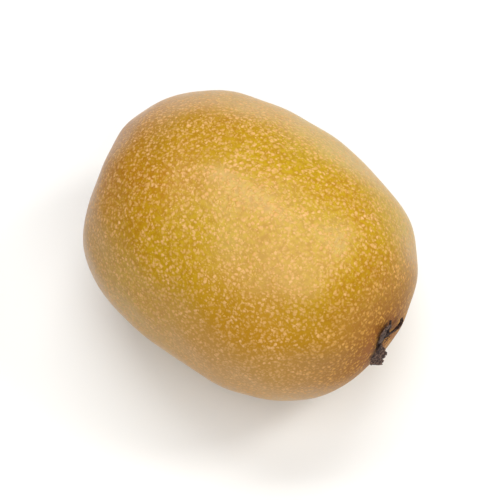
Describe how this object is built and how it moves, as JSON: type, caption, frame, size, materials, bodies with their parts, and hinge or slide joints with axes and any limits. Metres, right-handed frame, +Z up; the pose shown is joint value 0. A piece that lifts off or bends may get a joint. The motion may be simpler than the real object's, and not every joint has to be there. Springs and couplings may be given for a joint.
{
  "type": "golden kiwi fruit",
  "caption": "Whole golden kiwi fruit lying on its side, with dried sepals and a stalk scar at one end and a small tuft of dried styles at the other.",
  "frame": {"origin": "centre of the small flat spot on the underside, where the fruit rests", "axes": "+X along the fruit's length towards the stem end with its dried sepals, +Y across, +Z up from the surface the fruit lies on"},
  "size_m": [0.0712, 0.0549, 0.0527],
  "materials": {
    "skin": "golden-olive skin with pale raised pores and a fine down, satin",
    "dried_calyx": "dry dark brown leafy tissue, dull",
    "dried_styles": "dry near-black fibre, dull"
  },
  "bodies": {
    "root": {"fruit": "skin", "calyx": "dried_calyx", "style_tuft": "dried_styles"}
  },
  "joints": []
}
